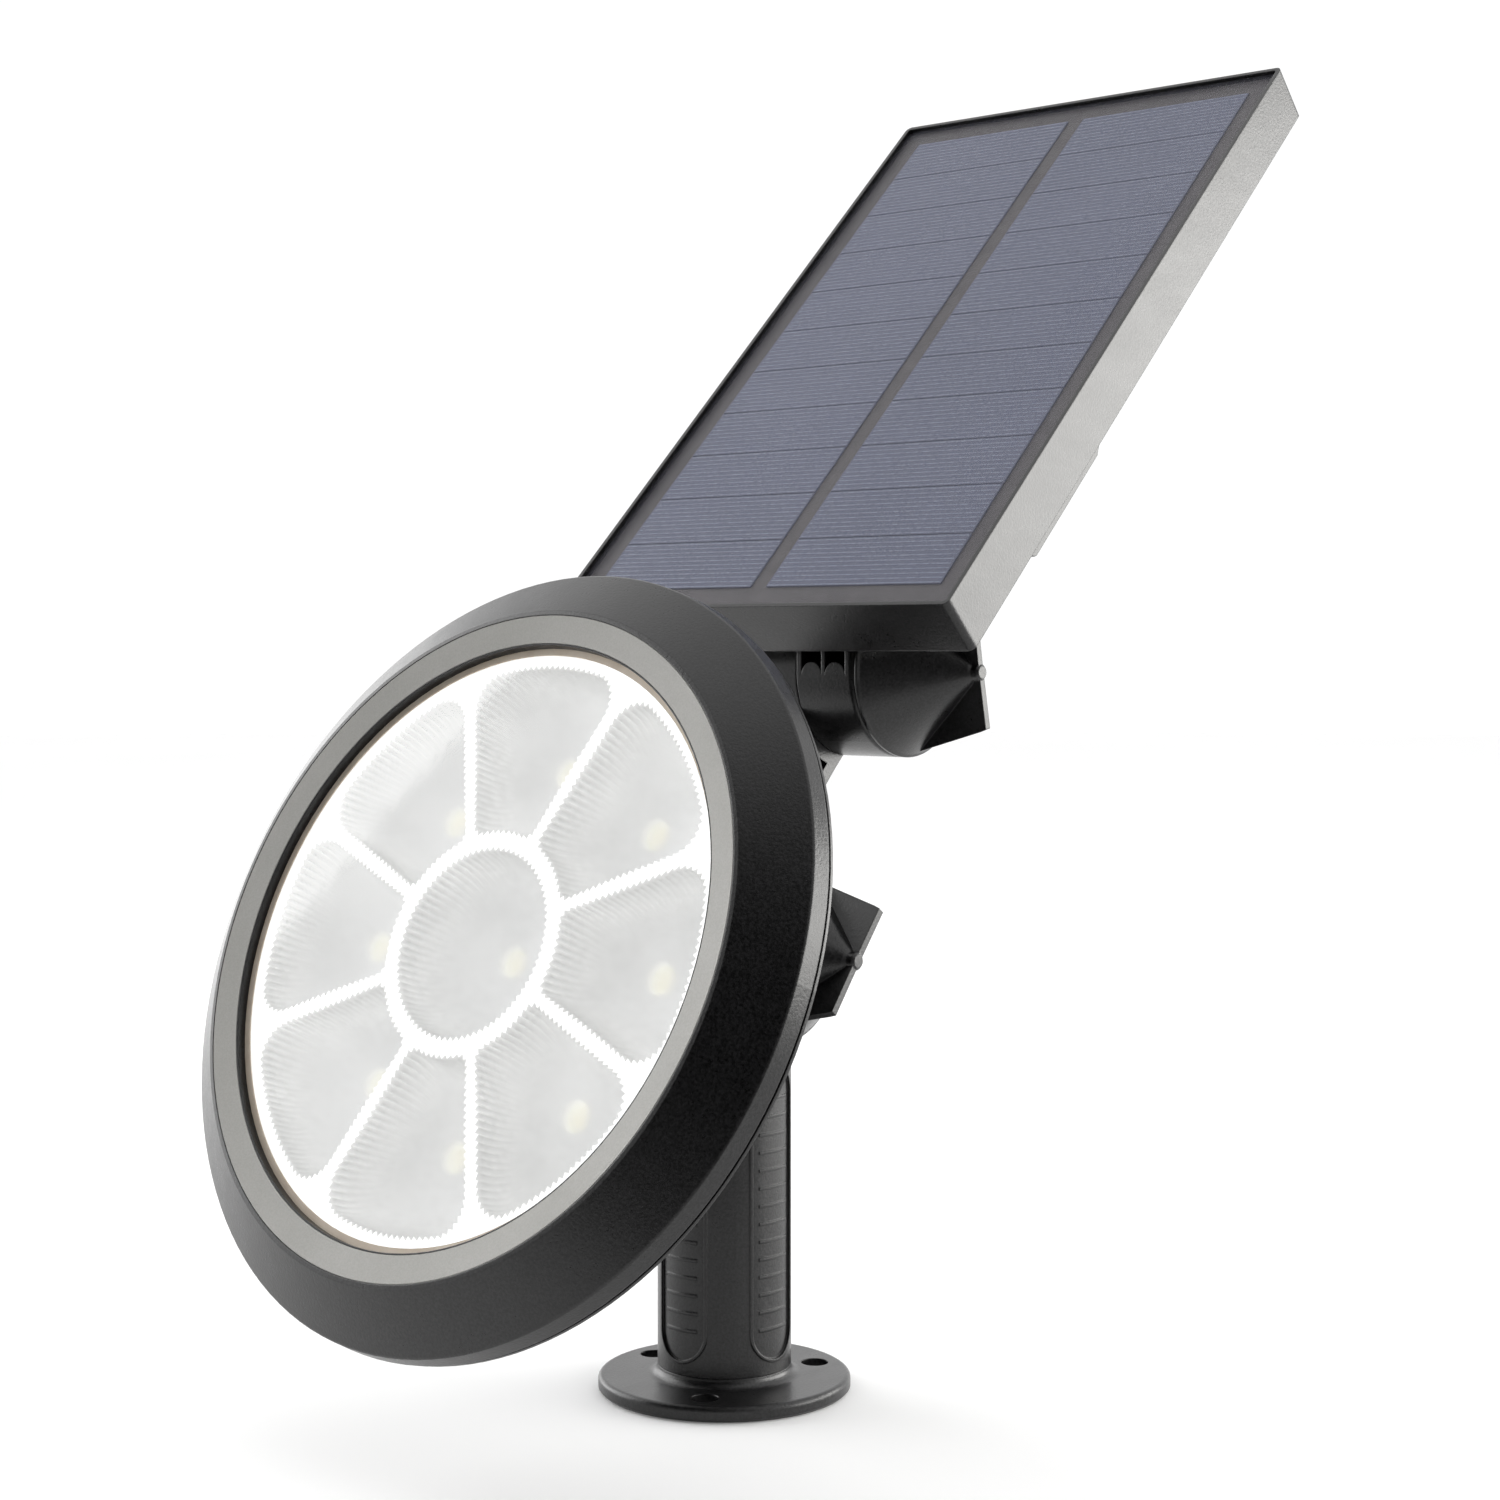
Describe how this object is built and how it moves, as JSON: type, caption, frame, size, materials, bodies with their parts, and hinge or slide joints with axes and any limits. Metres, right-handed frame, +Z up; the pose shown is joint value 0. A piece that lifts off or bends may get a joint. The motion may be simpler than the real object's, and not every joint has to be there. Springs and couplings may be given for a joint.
{
  "type": "solar garden light",
  "caption": "Round LED lamp head and tilting solar panel on a flanged post, each clamped at a friction hinge by a winged bell-shaped knob.",
  "frame": {"origin": "centre of the foot flange's underside", "axes": "+Z up along the post, +X along the hinge bolts towards the clamp knobs, the lamp faces -Y"},
  "size_m": [0.149, 0.2348, 0.2782],
  "materials": {
    "charcoal_plastic": "fine-grained charcoal black moulded plastic",
    "trim_plastic": "satin light grey painted ring",
    "clear_lens": "clear gloss lens",
    "gasket_silicone": "beige silicone gasket",
    "reflector_white": "white fluted reflector, lit",
    "led_package": "small warm-white LED packages",
    "board_white": "white-masked aluminium circuit board",
    "black_rubber": "matt black rubber",
    "zinc_steel": "zinc-plated steel",
    "brass_nut": "brass",
    "panel_clear": "clear semi-gloss window over the cells",
    "cell_blue": "blue-grey solar cells with fine finger lines",
    "cell_backing": "brown-grey backing board",
    "board_green": "green circuit board",
    "component_black": "electronic parts",
    "battery_wrap": "plain blue heat-shrink sleeve",
    "button_rubber": "dark grey silicone button"
  },
  "bodies": {
    "stand": {"base_flange": "charcoal_plastic", "post": "charcoal_plastic", "bracket_arm": "charcoal_plastic", "post_screws": "zinc_steel", "lower_bolt": "zinc_steel", "upper_bolt": "zinc_steel", "lower_friction_disc": "black_rubber", "upper_friction_disc": "black_rubber"},
    "lamp_head": {"rear_housing": "charcoal_plastic", "bezel": "charcoal_plastic", "trim_ring": "trim_plastic", "lens": "clear_lens", "lens_gasket": "gasket_silicone", "reflector": "reflector_white", "led_board": "board_white", "leds": "led_package", "board_screws": "zinc_steel", "housing_gasket": "black_rubber", "housing_screws": "zinc_steel", "head_gland": "black_rubber", "head_bracket": "charcoal_plastic", "head_bracket_screws": "zinc_steel"},
    "solar_panel": {"panel_tray": "charcoal_plastic", "panel_window": "panel_clear", "solar_cells": "cell_blue", "cell_board": "cell_backing", "panel_seal": "black_rubber", "panel_bracket": "charcoal_plastic", "bracket_screws": "zinc_steel", "battery_cover": "charcoal_plastic", "cover_gasket": "black_rubber", "cover_screws": "zinc_steel", "battery": "battery_wrap", "battery_contacts": "zinc_steel", "control_board": "board_green", "board_parts": "component_black", "panel_gland": "black_rubber"},
    "switch": {"switch_button": "button_rubber"},
    "lower_clamp_washer": {"lower_washer": "zinc_steel"},
    "upper_clamp_washer": {"upper_washer": "zinc_steel"},
    "lower_clamp_knob": {"lower_knob": "charcoal_plastic", "lower_knob_nut": "brass_nut"},
    "upper_clamp_knob": {"upper_knob": "charcoal_plastic", "upper_knob_nut": "brass_nut"}
  },
  "joints": [
    {"name": "head_tilt", "type": "hinge", "parent": "stand", "child": "lamp_head", "pos_m": [0, 0, 0.089], "axis": [1, 0, 0], "range_deg": [-20, 15]},
    {"name": "panel_tilt", "type": "hinge", "parent": "stand", "child": "solar_panel", "pos_m": [0, 0.0403, 0.14427], "axis": [1, 0, 0], "range_deg": [-90, 35]},
    {"name": "switch_press", "type": "slide", "parent": "solar_panel", "child": "switch", "axis": [0, -0.6972, 0.7169], "range_m": [0, 0.001], "stiffness_N_per_m": 600},
    {"name": "lower_washer_travel", "type": "slide", "parent": "stand", "child": "lower_clamp_washer", "axis": [1, 0, 0], "range_m": [0, 0.001]},
    {"name": "lower_knob_turn", "type": "hinge", "parent": "lower_clamp_washer", "child": "lower_clamp_knob", "pos_m": [0, 0, 0.089], "axis": [1, 0, 0], "range_deg": [0, 360]},
    {"name": "upper_washer_travel", "type": "slide", "parent": "stand", "child": "upper_clamp_washer", "axis": [1, 0, 0], "range_m": [0, 0.001]},
    {"name": "upper_knob_turn", "type": "hinge", "parent": "upper_clamp_washer", "child": "upper_clamp_knob", "pos_m": [0, 0.0403, 0.14427], "axis": [1, 0, 0], "range_deg": [0, 360]}
  ],
  "couplings": [
    {"joint": "lower_washer_travel", "follows": "lower_knob_turn", "m_per_rad": 0.00015915},
    {"joint": "upper_washer_travel", "follows": "upper_knob_turn", "m_per_rad": 0.00015915}
  ]
}
